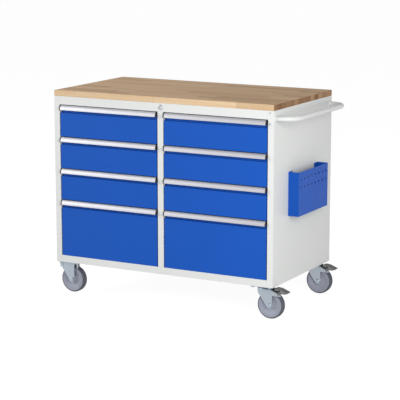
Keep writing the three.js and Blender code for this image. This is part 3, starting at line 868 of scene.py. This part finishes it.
for row in ("front", "rear"):
    caster = f"{row}_right"
    low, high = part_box(f"swivel_plate_{caster}")
    centre = Vector(((low.x + high.x) / 2, (low.y + high.y) / 2))
    size = (high.x - low.x, high.y - low.y)
    plate_bottom = high.z - PLATE_SHEET
    work = bmesh.new()
    rounded_plate(work, centre, size, PLATE_CORNER, plate_bottom, high.z)
    plate_bolts(work, centre, size, plate_bottom)
    axis = Matrix.Translation((centre.x, centre.y, 0))
    turn(work, [(AXLE, UPPER_RACE), (21 * MM, UPPER_RACE), (24 * MM, UPPER_RACE + 0.3 * MM),
                (RACE_RADIUS + 1 * MM, UPPER_RACE + 1.2 * MM),
                (RACE_RADIUS + 1 * MM, UPPER_RACE + 3 * MM), (24 * MM, plate_bottom + 0.5 * MM),
                (AXLE, plate_bottom + 0.5 * MM)], axis, sides=48, closed=True)
    turn(work, [(0, 132 * MM), (8.5 * MM, 132 * MM), (9.6 * MM, 133.2 * MM), (9.6 * MM, 134.6 * MM),
                (AXLE, 134.9 * MM), (AXLE, 142 * MM), (0, 142 * MM)], axis, sides=32)
    make(f"swivel_head_{caster}", work, zinc, "cabinet", (f"swivel_plate_{caster}",),
         crease=30)

    wheel_low, wheel_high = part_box(f"wheel_{caster}")
    axle_x = (wheel_low.x + wheel_high.x) / 2
    work = bmesh.new()
    fork_shell(work, Matrix.Translation((axle_x, centre.y, 0)), CROWN_TOP, HOUSING_END, CROWN_END)
    turn(work, [(7 * MM, CROWN_TOP - 0.6 * MM), (RACE_RADIUS - 1.5 * MM, CROWN_TOP - 0.6 * MM),
                (RACE_RADIUS - 0.2 * MM, CROWN_TOP + 0.4 * MM),
                (RACE_RADIUS - 0.8 * MM, CROWN_TOP + 1.8 * MM), (23 * MM, CROWN_TOP + 2.5 * MM),
                (7 * MM, CROWN_TOP + 2.5 * MM)], axis, sides=48, closed=True)
    make(f"swivel_fork_{caster}", work, zinc, f"caster_{caster}", (f"fork_{caster}",),
         crease=30)


# ---------------------------------------------------------------- brake pedals
# A treadle pressed from plain steel with cross ribs for the foot, on two arms that turn on a
# pin through the fork's brake housing.

# outlines in millimetres: from the swivel axis, and over the floor
PEDAL_TOP = ((62, 142.5), (74, 142.0), (87, 140.5), (98, 136.3), (123, 126.2))
PEDAL_UNDERSIDE = ((122, 123), (109, 119.5), (97, 121), (88, 127), (74, 133), (62, 134))
PEDAL_ARM = ((77.6, 116), (86.4, 116), (88.2, 136.5), (80, 138))
PEDAL_SHEET = 2.4 * MM
PEDAL_HALF = 19 * MM
RIBS = 6
RIB_RADIUS = 1.1 * MM

pedal_steel = zinc_plate("pedal_steel", (0.21, 0.21, 0.22), 0.5)


def pedal_point(axis_x, plane, x, z, across):
    return Vector((axis_x + x * MM, plane + across, z * MM))


def brake_pedal(work, axis_x, plane, pin_x, pin_z):
    prism(work, [pedal_point(axis_x, plane, *point, -PEDAL_HALF)
                 for point in [*PEDAL_TOP, *PEDAL_UNDERSIDE]], Vector((0, 2 * PEDAL_HALF, 0)))
    for start in (-PEDAL_HALF, PEDAL_HALF - PEDAL_SHEET):
        prism(work, [pedal_point(axis_x, plane, *point, start) for point in PEDAL_ARM],
              Vector((0, PEDAL_SHEET, 0)))
    crest, tip = Vector(PEDAL_TOP[3]), Vector(PEDAL_TOP[4])
    for rib in range(RIBS):
        x, z = crest.lerp(tip, (rib + 0.4) / RIBS)
        foot = pedal_point(axis_x, plane, x, z - 0.4, 0)
        reach = Vector((0, PEDAL_HALF - 2 * MM, 0))
        sweep(work, [foot - reach, foot + reach], RIB_RADIUS, Vector((0, 0, 1)), sides=12)
    pin = Matrix.Translation((pin_x, plane, pin_z)) @ FACING_FRONT
    out = CHEEK + 1.6 * MM
    inner = CHEEK + 0.3 * MM
    turn(work, [(0, out), (5.2 * MM, out), (5.6 * MM, out - 0.5 * MM), (5.6 * MM, inner),
                (3.9 * MM, inner), (3.9 * MM, -inner), (5.6 * MM, -inner),
                (5.6 * MM, 0.5 * MM - out), (5.2 * MM, -out), (0, -out)], pin)


joints = {joint["name"]: joint for joint in frame["joints"]}
for row in ("front", "rear"):
    caster = f"{row}_right"
    axis_x, plane, _ = joints[f"swivel_{caster}"]["pos_m"]
    pin_x, _, pin_z = joints[f"brake_{caster}"]["pos_m"]
    work = bmesh.new()
    brake_pedal(work, axis_x, plane, pin_x, pin_z)
    make(f"brake_treadle_{caster}", work, pedal_steel, f"brake_{caster}",
         (f"brake_pedal_{caster}",), rounding=0.3 * MM, crease=35)


# ---------------------------------------------------------------- studio
# A pale, faintly glowing floor under a white surround, a large soft light far out on the left,
# a smaller one near the front right corner and one above on the left, and a long lens that looks
# down from the front right.

FLOOR_SIZE = 160.0
FLOOR_GREYS = ((0.195, 0.195, 0.195), (0.205, 0.205, 0.205))
FLOOR_GLOW = 0.88
WHITE = (1.0, 1.0, 1.0, 1.0)
CAMERA_SPOT = (3.523, -6.545, 1.879)
CAMERA_TURN = (math.pi / 2 - 0.1899, 0.0, 0.4947)
LENS = 144.5
SURROUND = 0.45
LIGHTS = (
    # name, direction from the bench, distance, size, watts
    ("key", (-0.78, -0.54, 0.31), 6.0, 3.0, 224.0),
    ("fill", (0.72, -0.64, 0.24), 3.2, 1.8, 76.0),
    ("overhead", (-0.75, 0.10, 1.0), 2.6, 2.0, 12.0),
)


def add_floor():
    finish = Finish("pale_floor", {"Specular IOR Level": 0.1, "Emission Strength": FLOOR_GLOW,
                                   "Emission Color": WHITE})
    clouds = finish.noise(0.5, 2.0)
    material = finish.feed(Base_Color=finish.mix(clouds, *FLOOR_GREYS), Roughness=0.8 + 0.1 * clouds)
    mesh = bpy.data.meshes.new("floor")
    half = FLOOR_SIZE / 2
    mesh.from_pydata([(-half, -half, 0), (half, -half, 0), (half, half, 0), (-half, half, 0)], [],
                     [(0, 1, 2, 3)])
    mesh.materials.append(material)
    floor = bpy.data.objects.new("floor", mesh)
    floor.visible_diffuse = False       # its glow doesn't light the undersides
    bpy.context.scene.collection.objects.link(floor)
    floor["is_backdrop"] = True


def add_light(name, direction, distance, size, watts):
    lamp = bpy.data.lights.new(name, "AREA")
    lamp.shape = "SQUARE"
    lamp.size = size
    lamp.energy = watts
    light = bpy.data.objects.new(name, lamp)
    toward = Vector(direction).normalized()
    light.location = (cad_low + cad_high) / 2 + toward * distance
    light.rotation_euler = toward.to_track_quat("Z", "Y").to_euler()
    bpy.context.scene.collection.objects.link(light)


def add_camera():
    camera = bpy.data.objects.new("camera", bpy.data.cameras.new("camera"))
    camera.data.lens = LENS
    camera.data.clip_end = 400.0
    camera.location = CAMERA_SPOT
    camera.rotation_euler = CAMERA_TURN
    bpy.context.scene.collection.objects.link(camera)
    bpy.context.scene.camera = camera


add_floor()
for light in LIGHTS:
    add_light(*light)
add_camera()
world = bpy.data.worlds.new("surround")
world.use_nodes = True
world.node_tree.nodes["Background"].inputs["Color"].default_value = WHITE
world.node_tree.nodes["Background"].inputs["Strength"].default_value = SURROUND
bpy.context.scene.world = world
bpy.context.scene.view_settings.view_transform = "Standard"

low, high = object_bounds()
